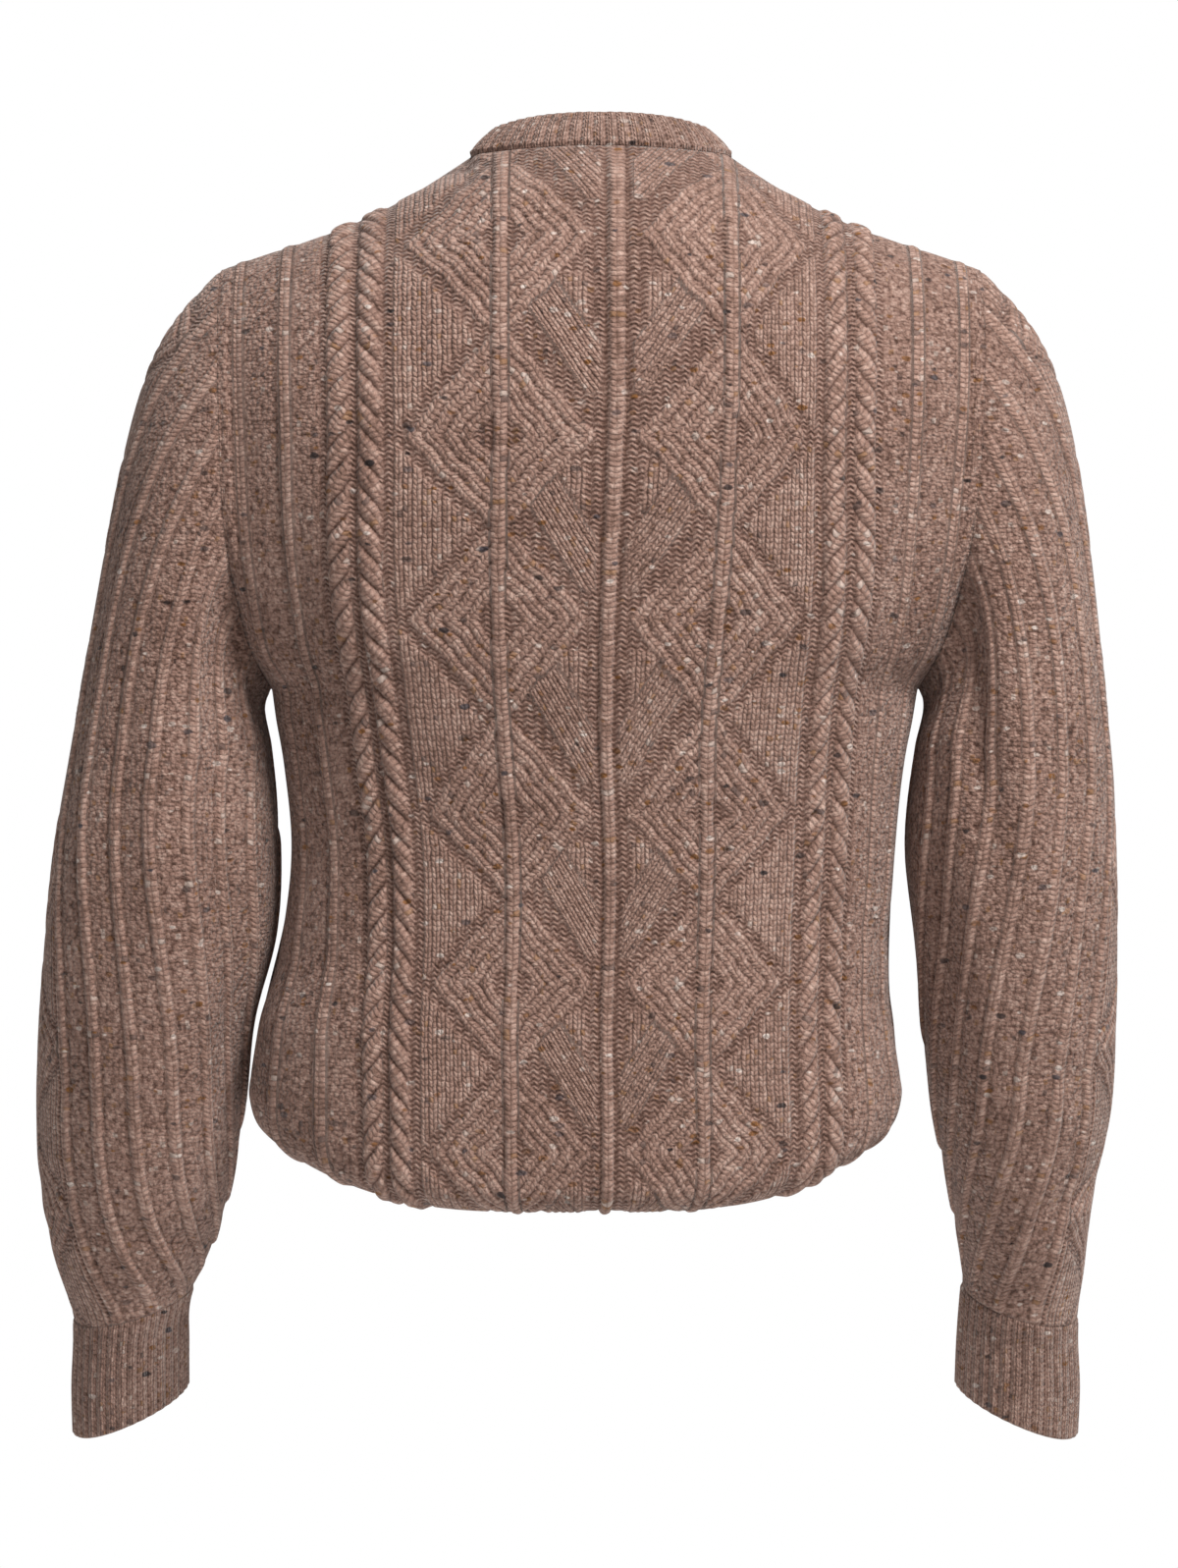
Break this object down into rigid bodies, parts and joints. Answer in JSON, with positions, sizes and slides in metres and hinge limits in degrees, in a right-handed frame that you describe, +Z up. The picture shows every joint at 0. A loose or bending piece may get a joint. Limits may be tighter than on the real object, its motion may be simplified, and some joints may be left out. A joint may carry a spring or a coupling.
{
  "type": "cable knit sweater",
  "caption": "Long-sleeved crew-neck pullover in chunky knit with raised cables, diamonds and ribs, hollow and posed as worn.",
  "frame": {"origin": "centre of the neck base, level with the high points of the two shoulder seams, where the wearer's neck and shoulders hold the garment", "axes": "+Z up, +X towards the wearer's left arm, +Y out of the back; the chest faces -Y"},
  "size_m": [0.6313, 0.2461, 0.7709],
  "materials": {
    "wool": "matte tweed wool, heather brown with pale, dark and rust flecks, slightly fuzzy"
  },
  "bodies": {
    "root": {"back": "wool", "front": "wool", "sleeve_left": "wool", "sleeve_right": "wool", "neckband": "wool", "cuff_left": "wool", "cuff_right": "wool", "hem_rib": "wool"}
  },
  "joints": []
}
